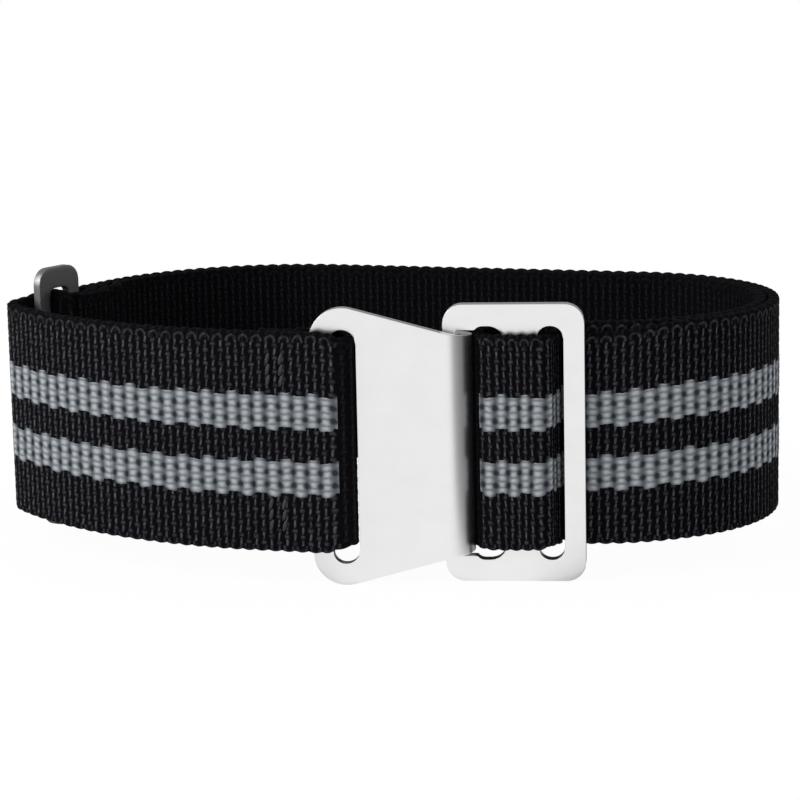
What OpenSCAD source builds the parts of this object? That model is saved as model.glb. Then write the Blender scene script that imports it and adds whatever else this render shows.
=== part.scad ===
// Elastic nylon watch strap with a hook clasp, closed and standing on the lower edge of its clasp.
// Seen from above, the clasp lies along X at the front and its outer side faces -Y.
// The webbing runs round the wrist space as arcs and straight runs that join without a corner.

/* [Webbing] */
// Width of the webbing
web_w = 20; // [16:1:24]
// Thickness of one layer
web_t = 1.1; // [0.9:0.05:1.2]
// Gap between two layers that slide on each other
layer_gap = 0.1; // [0.05:0.05:0.15]

/* [Loop round the wrist] */
// Angle at which the webbing leaves the hook plate
fold_lean = 10; // [6:1:14]
// Radius of the front left run
front_left_r = 41; // [37:1:46]
// Sweep of the front left run
front_left_deg = 43; // [39:1:47]
// Radius of the tight left turn
left_turn_r = 5; // [4:0.5:7]
// Sweep of the tight left turn
left_turn_deg = 66; // [62:1:70]
// Radius of the back left run
back_left_r = 21; // [19:0.5:24]
// Sweep of the back left run
back_left_deg = 73; // [70:1:76]
// Straight lead beside the frame before the right turn
frame_lead = 1.4; // [0.4:0.1:3]

/* [Hook plate] */
// Sheet thickness of the hook plate
plate_t = 1; // [0.8:0.05:1.2]
// Metal above and below the slot for the webbing
plate_end = 2; // [1.9:0.05:2.4]
// Width of the bar that the webbing is sewn round
strap_bar_w = 1.8; // [1.5:0.1:2.2]
// Width of the slot beside that bar
plate_slot_w = 2.45; // [2.3:0.05:3]
// Room for the webbing along that slot, both ends together
plate_slot_play = 1.6; // [1.5:0.05:1.8]
// Plain plate between the slot and the bend
plate_face = 7.8; // [6.5:0.1:10]
// Inner radius of the hook's bend
hook_r = 1.6; // [1.55:0.05:1.7]
// Height of the plate where the bend begins
bend_h = 20.9; // [20.4:0.1:21.2]
// Height of the lip behind the bend
lip_h = 19.8; // [18:0.1:20]
// Rounding of the plate's outer corners
plate_corner_r = 3; // [2:0.1:3.4]

/* [Clasp frame] */
// Thickness of the frame
frame_t = 1.2; // [1:0.05:1.25]
// Metal above and below the frame's slots
frame_end = 2; // [1.9:0.05:2.6]
// Width of the bar that the hook holds
hook_bar_w = 1.15; // [1:0.05:1.2]
// Depth of the notch behind the hook, where that bar is cut narrower
notch_w = 1.55; // [1.5:0.05:1.7]
// Room for the hook lip along the notch, both ends together
notch_play = 1.1; // [1:0.1:1.4]
// Rounding of that notch's corners
notch_corner_r = 0.2; // [0.15:0.05:0.3]
// Width of the slot beside the notch
hook_slot_w = 2.9; // [2.8:0.1:3.4]
// Width of the middle bar
mid_bar_w = 2.9; // [2.6:0.1:3.1]
// Room for the webbing across the slot it comes out of
strap_slot_play = 1.3; // [1.25:0.05:1.8]
// Width of the bar on the right
right_bar_w = 1.9; // [1.6:0.1:2.1]
// Room for the webbing along both slots, both ends together
frame_slot_play = 1.6; // [1.5:0.05:1.8]
// Rounding of the frame's outer corners
frame_corner_r = 1.8; // [0.8:0.1:2.4]
// Rounding of the corners of the slots in the plate and the frame
slot_corner_r = 0.5; // [0.3:0.05:0.6]
// Play between the frame and the back of the hook plate
clasp_play = 0.7; // [0.65:0.05:0.75]
// How far the bar reaches past the centre of the hook's bend
hook_reach = 1.05; // [0.9:0.05:1.1]
// Gap in front of the middle bar, under the loop of webbing
loop_gap = 0.3; // [0.25:0.05:0.35]
// Gap between the hook plate's bar and the webbing folded round it
bar_gap = 0.2; // [0.15:0.05:0.3]
// How far the clasp hangs below the middle of the webbing
metal_drop = 0.6; // [0.4:0.05:0.7]

/* [Adjuster slide] */
// Thickness of the slide
slide_t = 0.8; // [0.7:0.05:1]
// Metal above and below its slot
slide_end = 2.05; // [1.6:0.05:2.1]
// Width of its two bars
slide_bar = 1.5; // [1.3:0.1:1.8]
// Room across its slot beside the two layers in it
slide_play = 0.6; // [0.55:0.05:1]
// Room for the webbing along its slot, both ends together
slide_slot_play = 1.7; // [1:0.1:1.8]
// Rounding of its outer corners
slide_corner_r = 1.6; // [0.8:0.1:1.8]
// Rounding of its slot's corners
slide_slot_corner_r = 0.8; // [0.3:0.05:0.85]
// Gap between the slide and the outer layer
slide_gap = 0.3; // [0.25:0.05:0.35]

/* [Sewn ends] */
// Length of the doubled webbing at the hook plate
hook_double = 2.4; // [2.2:0.1:4]
// Length of the doubled webbing at the adjuster slide
slide_double = 2; // [1.9:0.1:3]
// Thickness of the sewing thread
thread_d = 0.3; // [0.2:0.05:0.35]
// Length of one stitch
stitch_l = 1; // [0.8:0.1:1.3]
// Stitches in each column of a tack
stitches = 3; // [2:1:4]
// Distance between the two columns of a tack
column_gap = 1.1; // [0.8:0.1:1.3]
// Distance of each tack from the webbing's edge
tack_in = 1.8; // [1.2:0.1:2]

/* [Hidden] */
$fn = 96;
webbing_black = [0.1, 0.1, 0.11];
steel = [0.86, 0.86, 0.87];
thread_black = [0.2, 0.2, 0.22];

// Heights of the metal pieces and the slots in them
plate_slot_l = web_w + plate_slot_play;
plate_h = plate_slot_l + 2 * plate_end;
frame_slot_l = web_w + frame_slot_play;
frame_h = frame_slot_l + 2 * frame_end;
notch_l = lip_h + notch_play;
slide_slot_l = web_w + slide_slot_play;
slide_h = slide_slot_l + 2 * slide_end;

// Depths through the clasp, from the outer face of the webbing's fold inward
plate_y = web_t + bar_gap + plate_t / 2;
frame_y0 = plate_y + plate_t / 2 + clasp_play;
frame_y1 = frame_y0 + frame_t;
outer_y = frame_y1 + layer_gap;
layer_step = web_t + layer_gap;
outer_mid = outer_y + web_t / 2;
inner_mid = outer_mid + layer_step;
loop_mid = frame_y0 - loop_gap - web_t / 2;

// Places along the clasp, from the frame's left edge to the right
hook_slot_x0 = hook_bar_w + notch_w;
hook_slot_x1 = hook_slot_x0 + hook_slot_w;
strap_slot_x0 = hook_slot_x1 + mid_bar_w;
strap_slot_x1 = strap_slot_x0 + web_t + strap_slot_play;
frame_w = strap_slot_x1 + right_bar_w;
hook_x = hook_bar_w - hook_reach;
plate_slot_x1 = hook_x - plate_face;
plate_slot_x0 = plate_slot_x1 - plate_slot_w;
plate_x0 = plate_slot_x0 - strap_bar_w;
bar_at = [plate_slot_x0 - strap_bar_w / 2, plate_y];

// Bends of the webbing round the bars, and the short lengths that carry it past their edges
tight_inside_r = 0.4;
step_inside_r = 0.65;
fold_past = 0.35;
fold_tail = 0.35;
loop_past = 0.2;
slide_lead = 0.5;
slot_room = 0.1;
edge_room = 0.05;
drop_lead = 0.2;
small_r = tight_inside_r + web_t / 2;
step_deg = atan2(4, 3);
loop_deg = atan2(24, 7);
step_r = step_inside_r + web_t / 2;
fold_r = plate_t / 2 + bar_gap + web_t / 2;
fold_turn_x = strap_bar_w / 2 + fold_past;
fold_rise = 2 * fold_r - web_t;
fold_step_x1 = -strap_bar_w / 2 - edge_room;
fold_step_x0 = fold_step_x1 - step_run(fold_rise, step_r, step_deg);
fold_end_x = fold_step_x0 - hook_double;
fold_run = fold_tail - fold_end_x;
loop_r = (inner_mid - loop_mid) / 2;
loop_turn_x = hook_slot_x1 - loop_past;
loop_step_x1 = strap_slot_x1 + edge_room;
loop_step_x0 = loop_step_x1 - step_run(outer_mid - loop_mid, small_r, loop_deg);

// The adjuster slide, measured from its centre along the webbing and inward from the outer face
slide_slot_w = 2 * web_t + slide_play;
slide_w = slide_slot_w + 2 * slide_bar;
slide_mid = web_t + slide_gap + slide_t / 2;
slide_fold_r = slide_t / 2 + slide_gap + web_t / 2;
slide_turn_x = slide_slot_w / 2 + slide_gap + edge_room;
slide_rise = 2 * slide_fold_r - web_t;
slide_step_x0 = slide_w / 2 + slide_lead;
slide_step_x1 = slide_step_x0 + step_run(slide_rise, step_r, step_deg);
slide_end_x = slide_step_x1 + slide_double;
pass_mid_x = -slide_slot_w / 2 + slot_room + web_t / 2;
pass_top = slide_mid + slide_fold_r + layer_step;
pass_over = 2 * web_t + thread_d / 2 + layer_gap + web_t / 2;
pass_low = web_t + layer_gap + web_t / 2;
pass_step_x0 = slide_step_x0 + layer_step * tan(step_deg / 2);
pass_step_x1 = pass_step_x0 + step_run(pass_top - pass_over, step_r, step_deg);
pass_drop_x0 = slide_end_x - drop_lead;
adjuster_x0 = -slide_w / 2 - slide_lead;
adjuster_x1 = pass_drop_x0 + step_run(pass_over - pass_low, step_r, step_deg);
adjuster_run = adjuster_x1 - adjuster_x0;

// The loop's outer face on the left, from the hook plate's fold round to the back
fold_heading = 180 - fold_lean;
left_start = bar_at - fold_run * along(-fold_lean) + plate_y * along(-fold_lean - 90);
left_p1 = run_end(left_start, fold_heading, [[front_left_r, -front_left_deg]]);
left_p2 = run_end(left_p1[0], left_p1[1], [[left_turn_r, -left_turn_deg]]);
left_p3 = run_end(left_p2[0], left_p2[1], [[adjuster_run, 0]]);
left_p4 = run_end(left_p3[0], left_p3[1], [[back_left_r, -back_left_deg]]);
slide_at = left_p2[0] - adjuster_x0 * along(left_p2[1]);
back_centre = left_p3[0] + back_left_r * along(left_p3[1] - 90);

// The right turn's radius and the straight back run, chosen so that the loop closes
right_deg = 360 - fold_lean - front_left_deg - left_turn_deg - back_left_deg;
right_x = frame_w + frame_lead;
gap_to_close = left_p4[0] - [right_x, outer_y];
closing = 1 - cos(right_deg);
right_r = (gap_to_close.x * sin(right_deg) - gap_to_close.y * cos(right_deg)) / closing;
back_run = (gap_to_close.y * sin(right_deg) - gap_to_close.x * closing) / closing;

// The box round the whole strap, whose bottom centre is the origin
left_turn_centre = left_p1[0] + left_turn_r * along(left_p1[1] - 90);
box_x0 = left_turn_centre.x - left_turn_r;
box_x1 = right_x + right_r;
box_y0 = plate_y - fold_turn_x * sin(fold_lean) - fold_r - web_t / 2;
box_y1 = back_centre.y + back_left_r;
box_z0 = web_w / 2 - max(max(frame_h, plate_h) / 2 + metal_drop, slide_h / 2);
origin = [(box_x0 + box_x1) / 2, (box_y0 + box_y1) / 2, box_z0];

// Unit vector for a heading
function along(h) = [cos(h), sin(h)];

// Where a run ends; a run is a list of [length, 0] for a straight and [radius, turn] for an arc,
// a left turn being positive
function part_end(p, h, s) = s[1] == 0
    ? [p + s[0] * along(h), h]
    : [p + s[0] * sign(s[1]) * (along(h + 90) - along(h + s[1] + 90)), h + s[1]];
function run_end(p, h, run, i = 0) = i == len(run)
    ? [p, h]
    : run_end(part_end(p, h, run[i])[0], part_end(p, h, run[i])[1], run, i + 1);

// A step to a parallel line at distance d: two arcs of radius r through the angle a
function step_straight(d, r, a) = (d - 2 * r * (1 - cos(a))) / sin(a);
function step_run(d, r, a) = 2 * r * sin(a) + step_straight(d, r, a) * cos(a);
function step(d, r, a) = [[r, a], [step_straight(d, r, a), 0], [r, -a]];

// One layer of webbing along a run of its middle line
module ribbon(p, h, run, i = 0) {
    s = run[i];
    if (s[1] == 0)
        translate(p)
            rotate(h)
                translate([0, -web_t / 2, 0])
                    cube([s[0], web_t, web_w]);
    else
        translate(p + sign(s[1]) * s[0] * along(h + 90))
            rotate(s[1] > 0 ? h - 90 : h + 90 + s[1])
                rotate_extrude(angle = abs(s[1]))
                    translate([s[0] - web_t / 2, 0])
                        square([web_t, web_w]);
    if (i + 1 < len(run))
        ribbon(part_end(p, h, s)[0], part_end(p, h, s)[1], run, i + 1);
}

// One layer along an arc of the loop's outer face on the left
module left_arc(start, r, deg) {
    ribbon(start[0] + web_t / 2 * along(start[1] - 90), start[1], [[r - web_t / 2, -deg]]);
}

// A flat box with its four outer corners rounded, standing in X and Z
module rounded_sheet(x0, x1, z0, z1, y0, y1, r) {
    for (x = [x0 + r, x1 - r], z = [z0 + r, z1 - r])
        translate([x, y0, z])
            rotate([-90, 0, 0])
                cylinder(r = r, h = y1 - y0);
    translate([x0 + r, y0, z0])
        cube([x1 - x0 - 2 * r, y1 - y0, z1 - z0]);
    translate([x0, y0, z0 + r])
        cube([x1 - x0, y1 - y0, z1 - z0 - 2 * r]);
}

// Two layers of the back share this frame: it starts where the back left arc meets the straight
module at_back() {
    placed()
        translate(left_p4[0])
            rotate(left_p4[1])
                children();
}

module back_layer(inward) {
    ribbon([0, -inward], 180, [[back_left_r - inward, back_left_deg]]);
    ribbon([0, -inward], 0, [[back_run, 0]]);
}

// Puts a piece drawn in the clasp's own frame at its place
module placed() {
    translate(-origin)
        children();
}

// The sewn fold leans with the webbing round the middle of the hook plate's bar
module at_fold() {
    placed()
        translate(bar_at)
            rotate(-fold_lean)
                children();
}

// The slide's frame: X along the webbing toward the doubled side, -Y inward
module at_slide() {
    placed()
        translate(slide_at)
            rotate(left_p2[1])
                children();
}

// A tack: two columns of stitches through both layers, half sunk in both faces, and a crossing
module tack(x, y0, y1, z) {
    tack_l = stitches * stitch_l;
    through_d = 0.8 * thread_d;
    for (cx = [x, x + column_gap], face = [y0, y1])
        translate([cx, face, z - 0.6 * thread_d])
            cylinder(d = thread_d, h = tack_l + 1.2 * thread_d, $fn = 24);
    for (cx = [x, x + column_gap], k = [0 : stitches])
        translate([cx, y0, z + k * stitch_l])
            rotate([-90, 0, 0])
                cylinder(d = through_d, h = y1 - y0, $fn = 24);
    translate([x, y1, z + tack_l - stitch_l / 2])
        rotate([0, 90, 0])
            cylinder(d = through_d, h = column_gap, $fn = 24);
}

module hook_tack(z) {
    tack(fold_end_x + (hook_double - column_gap) / 2, -fold_r - web_t / 2, 1.5 * web_t - fold_r, z);
}

module slide_tack(z) {
    tack(slide_step_x1 + (slide_double - column_gap) / 2, -2 * web_t, 0, z);
}

// Webbing, one length from the sewn fold at the hook plate to the sewn fold at the adjuster

module webbing_hook_fold() {
    color(webbing_black)
        at_fold()
            difference() {
                ribbon([fold_end_x, web_t - fold_r], 0,
                       concat([[hook_double, 0]],
                              step(fold_rise, step_r, step_deg),
                              [[fold_turn_x - fold_step_x1, 0],
                               [fold_r, -180],
                               [fold_turn_x + fold_run, 0]]));
                hook_tack(tack_in);
                hook_tack(web_w - tack_in - stitches * stitch_l);
            }
}

module webbing_front_left() {
    color(webbing_black)
        placed()
            left_arc([left_start, fold_heading], front_left_r, front_left_deg);
}

module webbing_left_turn() {
    color(webbing_black)
        placed()
            left_arc(left_p1, left_turn_r, left_turn_deg);
}

module webbing_adjuster_pass() {
    color(webbing_black)
        at_slide()
            ribbon([adjuster_x0, -web_t / 2], 0,
                   concat([[pass_mid_x - small_r - adjuster_x0, 0],
                           [small_r, -90],
                           [pass_top - web_t / 2 - 2 * small_r, 0],
                           [small_r, 90],
                           [pass_step_x0 - pass_mid_x - small_r, 0]],
                          step(pass_top - pass_over, step_r, step_deg),
                          [[pass_drop_x0 - pass_step_x1, 0]],
                          step(pass_over - pass_low, step_r, step_deg)));
}

module webbing_back_inner() {
    color(webbing_black)
        at_back()
            back_layer(layer_step + web_t / 2);
}

module webbing_right_turn_inner() {
    color(webbing_black)
        placed()
            ribbon([loop_turn_x, inner_mid], 0,
                   [[right_x - loop_turn_x, 0], [right_r - layer_step - web_t / 2, right_deg]]);
}

module webbing_frame_loop() {
    color(webbing_black)
        placed()
            ribbon([loop_turn_x, inner_mid], 180,
                   concat([[loop_r, 180], [loop_step_x0 - loop_turn_x, 0]],
                          step(outer_mid - loop_mid, small_r, loop_deg)));
}

module webbing_right_turn_outer() {
    color(webbing_black)
        placed()
            ribbon([loop_step_x1, outer_mid], 0,
                   [[right_x - loop_step_x1, 0], [right_r - web_t / 2, right_deg]]);
}

module webbing_back_outer() {
    color(webbing_black)
        at_back()
            back_layer(web_t / 2);
}

module webbing_adjuster_fold() {
    color(webbing_black)
        at_slide()
            difference() {
                ribbon([slide_end_x, -1.5 * web_t], 180,
                       concat([[slide_double, 0]],
                              step(slide_rise, step_r, step_deg),
                              [[slide_step_x0 - slide_turn_x, 0],
                               [slide_fold_r, -180],
                               [adjuster_x1 - slide_turn_x, 0]]));
                slide_tack(tack_in);
                slide_tack(web_w - tack_in - stitches * stitch_l);
            }
}

// Metal

// Part of the hook's bend, from one angle round its centre to another
module bend(h, from, turn) {
    translate([hook_x, plate_y + plate_t / 2 + hook_r, -h / 2])
        rotate(from)
            rotate_extrude(angle = turn)
                translate([hook_r, 0])
                    square([plate_t, h]);
}

module hook_plate() {
    corner = [plate_x0 + plate_corner_r, plate_h / 2 - plate_corner_r];
    tip = [hook_x, bend_h / 2];
    out = hook_x + hook_r + plate_t;
    reach = norm(tip - corner);
    slope = atan2(tip.y - corner.y, tip.x - corner.x) + acos(plate_corner_r / reach);
    touch = corner + plate_corner_r * along(slope);
    low = [1, -1];
    color(steel)
        placed()
            translate([0, 0, web_w / 2 - metal_drop]) {
                difference() {
                    union() {
                        translate([0, plate_y + plate_t / 2, 0])
                            rotate([90, 0, 0])
                                linear_extrude(plate_t)
                                    polygon([tip, touch, corner, [plate_x0, corner.y],
                                             [plate_x0, -corner.y], [corner.x, -corner.y],
                                             [touch.x, -touch.y], [tip.x, -tip.y]]);
                        for (s = low)
                            translate([corner.x, plate_y - plate_t / 2, s * corner.y])
                                rotate([-90, 0, 0])
                                    cylinder(r = plate_corner_r, h = plate_t);
                    }
                    rounded_sheet(plate_slot_x0, plate_slot_x1, -plate_slot_l / 2,
                                  plate_slot_l / 2, plate_y - plate_t, plate_y + plate_t,
                                  slot_corner_r);
                }
                intersection() {
                    bend(bend_h, -90, 90);
                    translate([0, plate_y + plate_t / 2 + hook_r, 0])
                        rotate([90, 0, 0])
                            linear_extrude(hook_r + plate_t)
                                polygon([tip, [out, lip_h / 2], [out, -lip_h / 2],
                                         [tip.x, -tip.y]]);
                }
                bend(lip_h, 0, 90);
            }
}

module clasp_frame() {
    color(steel)
        placed()
            translate([0, 0, web_w / 2 - metal_drop])
                difference() {
                    rounded_sheet(0, frame_w, -frame_h / 2, frame_h / 2, frame_y0, frame_y1,
                                  frame_corner_r);
                    for (x = [[hook_slot_x0, hook_slot_x1], [strap_slot_x0, strap_slot_x1]])
                        rounded_sheet(x[0], x[1], -frame_slot_l / 2, frame_slot_l / 2,
                                      frame_y0 - 1, frame_y1 + 1, slot_corner_r);
                    rounded_sheet(hook_bar_w, hook_slot_x0 + 2 * slot_corner_r, -notch_l / 2,
                                  notch_l / 2, frame_y0 - 1, frame_y1 + 1, notch_corner_r);
                }
}

module adjuster_slide() {
    color(steel)
        at_slide()
            translate([0, -slide_mid, web_w / 2])
                difference() {
                    rounded_sheet(-slide_w / 2, slide_w / 2, -slide_h / 2, slide_h / 2,
                                  -slide_t / 2, slide_t / 2, slide_corner_r);
                    rounded_sheet(-slide_slot_w / 2, slide_slot_w / 2, -slide_slot_l / 2,
                                  slide_slot_l / 2, -slide_t, slide_t, slide_slot_corner_r);
                }
}

// Sewing thread, one short tack near each edge of the webbing

module hook_seam_upper() {
    color(thread_black)
        at_fold()
            hook_tack(web_w - tack_in - stitches * stitch_l);
}

module hook_seam_lower() {
    color(thread_black)
        at_fold()
            hook_tack(tack_in);
}

module adjuster_seam_upper() {
    color(thread_black)
        at_slide()
            slide_tack(web_w - tack_in - stitches * stitch_l);
}

module adjuster_seam_lower() {
    color(thread_black)
        at_slide()
            slide_tack(tack_in);
}

webbing_hook_fold();
webbing_front_left();
webbing_left_turn();
webbing_adjuster_pass();
webbing_back_inner();
webbing_right_turn_inner();
webbing_frame_loop();
webbing_right_turn_outer();
webbing_back_outer();
webbing_adjuster_fold();
hook_plate();
clasp_frame();
adjuster_slide();
hook_seam_upper();
hook_seam_lower();
adjuster_seam_upper();
adjuster_seam_lower();
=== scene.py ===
import math

import bmesh
import bpy
import numpy as np
from mathutils import Matrix, Vector


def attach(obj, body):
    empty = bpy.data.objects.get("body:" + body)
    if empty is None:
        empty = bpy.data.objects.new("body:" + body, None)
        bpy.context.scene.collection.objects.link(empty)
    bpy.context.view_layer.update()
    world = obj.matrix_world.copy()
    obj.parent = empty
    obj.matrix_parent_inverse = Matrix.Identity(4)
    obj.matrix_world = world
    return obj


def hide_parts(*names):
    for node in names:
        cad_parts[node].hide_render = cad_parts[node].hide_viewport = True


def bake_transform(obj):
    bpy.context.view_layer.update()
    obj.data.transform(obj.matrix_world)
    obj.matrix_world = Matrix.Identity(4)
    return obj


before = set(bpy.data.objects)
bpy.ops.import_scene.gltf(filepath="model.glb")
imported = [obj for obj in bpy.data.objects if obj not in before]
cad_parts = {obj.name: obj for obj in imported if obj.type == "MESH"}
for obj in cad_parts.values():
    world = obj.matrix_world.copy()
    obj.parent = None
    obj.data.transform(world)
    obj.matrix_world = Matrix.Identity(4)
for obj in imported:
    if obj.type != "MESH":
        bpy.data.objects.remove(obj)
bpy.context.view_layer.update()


# Hook plate. Satin stainless sheet 1 mm thick, punched with one slot and rolled over at its right
# end into the hook that holds the frame's bar. It hangs in the sewn fold at its left end.
MM = 0.001  # sizes and places are written in millimetres
CLASP_X, CLASP_Y, CLASP_Z = 6.52457, -22.0787, 12.8  # from here the clasp's own places count
PLATE_T, PLATE_Y, PLATE_ROUNDING = 1.0, 1.8, 0.3
PLATE_LEFT, PLATE_HALF, PLATE_CORNER = -11.95, 12.8, 3.0
PLATE_SLOT, PLATE_SLOT_HALF, PLATE_SLOT_R = (-10.15, -7.7), 10.8, (1.1, 1.3)
HOOK_X, HOOK_MID_R = 0.1, 2.1  # where the bend starts, and its radius at half thickness
BEND_HALF, LIP_HALF, LIP_CORNER = 10.45, 9.9, 0.7
SLOT_ROWS, RIM_ROWS = 14, 6  # rows of faces from the middle to a slot's end, and on to the rim
LEAST_COLUMN, LEAST_RIM = 0.045, 0.9  # a column of faces and a rim are never narrower


def arc_steps(x0, x1, r, n):
    """Places between x0 and x1, close together where corners of radius r need them."""
    turn = np.linspace(0, math.pi / 2, n + 1)
    return np.concatenate([x0 + r[0] * (1 - np.cos(turn)), x1 - r[1] * (1 - np.cos(turn))])


def round_end(x, x0, x1, half, r):
    """Half height at x of an opening or sheet from x0 to x1 with corner radii r at its two ends."""
    drop = 0.0
    if r[0] and x < x0 + r[0]:
        drop = r[0] - math.sqrt(max(0.0, r[0] ** 2 - (x0 + r[0] - x) ** 2))
    if r[1] and x > x1 - r[1]:
        drop = r[1] - math.sqrt(max(0.0, r[1] ** 2 - (x - x1 + r[1]) ** 2))
    return half - drop


def slot_end(x, slot, half, r):
    """Half height at x of a slot, and beyond the slot that of its nearer side."""
    return round_end(min(max(x, slot[0]), slot[1]), *slot, half, r)


def in_scene(name, mesh, material):
    """A new piece of one material, standing in the scene where its mesh says."""
    piece = bpy.data.objects.new(name, mesh)
    bpy.context.collection.objects.link(piece)
    piece.data.materials.append(material)
    return piece


def smooth_mesh(name, bm):
    """The bmesh as a finished mesh with smooth faces."""
    mesh = bpy.data.meshes.new(name)
    bm.to_mesh(mesh)
    bm.free()
    for p in mesh.polygons:
        p.use_smooth = True
    return mesh


def punched_sheet(name, material, wanted, key, edge, slots, slot_half, bend, height,
                  thickness, rounding):
    """A sheet of metal as a grid of faces with its slots taken out, then thickened and rounded.

    The grid has columns at the wanted places and at the key ones, which stay exact. At a place
    along the sheet, edge and slot_half give half heights and bend its place seen from above."""
    places, wanted = [], np.unique(np.concatenate([wanted, key]))
    for x in wanted:
        if not places or x - places[-1] > LEAST_COLUMN:
            places.append(x)
        elif x in key:
            places[-1] = x
    across = SLOT_ROWS + RIM_ROWS
    bm = bmesh.new()
    bmesh.ops.create_grid(bm, x_segments=len(places) - 1, y_segments=2 * across, size=1)

    def cell(co):
        """Column and row of a point of the flat grid, with row 0 in the middle."""
        return (co.x + 1) / 2 * (len(places) - 1), (co.y + 1) * across - across

    punched = []
    for face in bm.faces:
        i, j = cell(face.calc_center_median())
        x = (places[int(i)] + places[int(i) + 1]) / 2
        if abs(j) < SLOT_ROWS and any(a < x < b for a, b in slots):
            punched.append(face)
    bmesh.ops.delete(bm, geom=punched, context="FACES")
    for v in bm.verts:
        i, j = cell(v.co)
        x, j = places[int(round(i))], round(j)
        rim = edge(x)
        hole = min(slot_half(x), rim - LEAST_RIM)
        if abs(j) <= SLOT_ROWS:
            z = hole * j / SLOT_ROWS
        else:
            z = math.copysign(hole + (rim - hole) * (abs(j) - SLOT_ROWS) / RIM_ROWS, j)
        px, py = bend(x)
        v.co = (px * MM, py * MM, z * MM)
    bmesh.ops.recalc_face_normals(bm, faces=bm.faces)
    piece = in_scene(name, smooth_mesh(name, bm), material)
    wall = piece.modifiers.new("thickness", "SOLIDIFY")
    wall.thickness, wall.offset, wall.use_even_offset = thickness * MM, 0, True
    edges = piece.modifiers.new("rounded edges", "BEVEL")
    edges.width, edges.segments, edges.limit_method = rounding * MM, 3, "ANGLE"
    edges.angle_limit = math.radians(50)
    shading = piece.modifiers.new("even shading", "WEIGHTED_NORMAL")
    shading.keep_sharp = False
    piece.data.transform(Matrix.Translation((0, 0, height * MM)))
    return piece


def clasp_place(x, y):
    """A place of the clasp in the strap's frame."""
    return CLASP_X + x, CLASP_Y + y


def plate_edge(x):
    """Half height of the plate at x: round corner, straight taper to the bend, then the lip."""
    corner = (PLATE_LEFT + PLATE_CORNER, PLATE_HALF - PLATE_CORNER)
    run, fall = HOOK_X - corner[0], BEND_HALF - corner[1]
    slope = math.atan2(fall, run) + math.acos(PLATE_CORNER / math.hypot(run, fall))
    touch = (corner[0] + PLATE_CORNER * math.cos(slope), corner[1] + PLATE_CORNER * math.sin(slope))
    if x <= touch[0]:
        return corner[1] + math.sqrt(max(0.0, PLATE_CORNER ** 2 - (x - corner[0]) ** 2))
    if x <= HOOK_X:
        return touch[1] + (BEND_HALF - touch[1]) * (x - touch[0]) / (HOOK_X - touch[0])
    turn = (x - HOOK_X) / HOOK_MID_R
    if turn < math.pi / 2:
        reach = math.sin(turn) * HOOK_MID_R / (HOOK_MID_R + PLATE_T / 2)
        return BEND_HALF + (LIP_HALF - BEND_HALF) * reach
    return round_end(x, 0, HOOK_X + math.pi * HOOK_MID_R, LIP_HALF, (0, LIP_CORNER))


def plate_bend(x):
    """Place seen from above of the plate at x, which goes on round the hook's bend."""
    if x <= HOOK_X:
        return clasp_place(x, PLATE_Y)
    turn = (x - HOOK_X) / HOOK_MID_R
    return clasp_place(HOOK_X + HOOK_MID_R * math.sin(turn),
                       PLATE_Y + HOOK_MID_R * (1 - math.cos(turn)))


def new_group(name, inputs, outputs):
    """An empty node group with named number sockets: tree, its entry and its way out."""
    tree = bpy.data.node_groups.new(name, "ShaderNodeTree")
    for labels, way in ((inputs, "INPUT"), (outputs, "OUTPUT")):
        for label in labels:
            tree.interface.new_socket(label, in_out=way, socket_type="NodeSocketFloat")
    return tree, tree.nodes.new("NodeGroupInput"), tree.nodes.new("NodeGroupOutput")


def new_material(name):
    """An empty material: itself, its nodes and their links."""
    material = bpy.data.materials.new(name)
    material.use_nodes = True
    return material, material.node_tree.nodes, material.node_tree.links


def feed(links, value, socket):
    """A socket fed by another one, or set to a plain value."""
    if isinstance(value, bpy.types.NodeSocket):
        links.new(value, socket)
    else:
        socket.default_value = value


def math_node(nodes, links, operation, *values):
    """The result of one sum on sockets and numbers."""
    node = nodes.new("ShaderNodeMath")
    node.operation = operation
    for socket, value in zip(node.inputs, values):
        feed(links, value, socket)
    return node.outputs[0]


def noise(nodes, links, vector, scale, detail):
    """A cloudy pattern on a vector."""
    node = nodes.new("ShaderNodeTexNoise")
    node.inputs["Scale"].default_value = scale
    node.inputs["Detail"].default_value = detail
    links.new(vector, node.inputs["Vector"])
    return node.outputs


def raised(nodes, links, shader, height, strength, depth):
    """Relief on a shader's surface, its depth in metres."""
    relief = nodes.new("ShaderNodeBump")
    relief.inputs["Strength"].default_value = strength
    relief.inputs["Distance"].default_value = depth
    links.new(height, relief.inputs["Height"])
    links.new(relief.outputs["Normal"], shader.inputs["Normal"])


def satin_group():
    """Satin finish: soft mottling, and fine grinding lines that run along the sheet."""
    tree, entry, out = new_group("satin finish", ("Least roughness", "Mottle"),
                                 ("Tone", "Roughness", "Height"))
    nodes, links = tree.nodes, tree.links
    place = nodes.new("ShaderNodeTexCoord")
    stretch = nodes.new("ShaderNodeMapping")
    stretch.inputs["Scale"].default_value = (150, 150, 2600)
    links.new(place.outputs["Object"], stretch.inputs["Vector"])
    lines = noise(nodes, links, stretch.outputs["Vector"], 1.0, 3)["Fac"]
    cloud = noise(nodes, links, place.outputs["Object"], 420, 3)["Fac"]
    tone = math_node(nodes, links, "MULTIPLY_ADD", cloud, entry.outputs["Mottle"], 0.95)
    rough = math_node(nodes, links, "MULTIPLY_ADD", lines, 0.14, entry.outputs["Least roughness"])
    for label, value in (("Tone", tone), ("Roughness", rough), ("Height", lines)):
        links.new(value, out.inputs[label])
    return tree


satin = satin_group()


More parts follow.
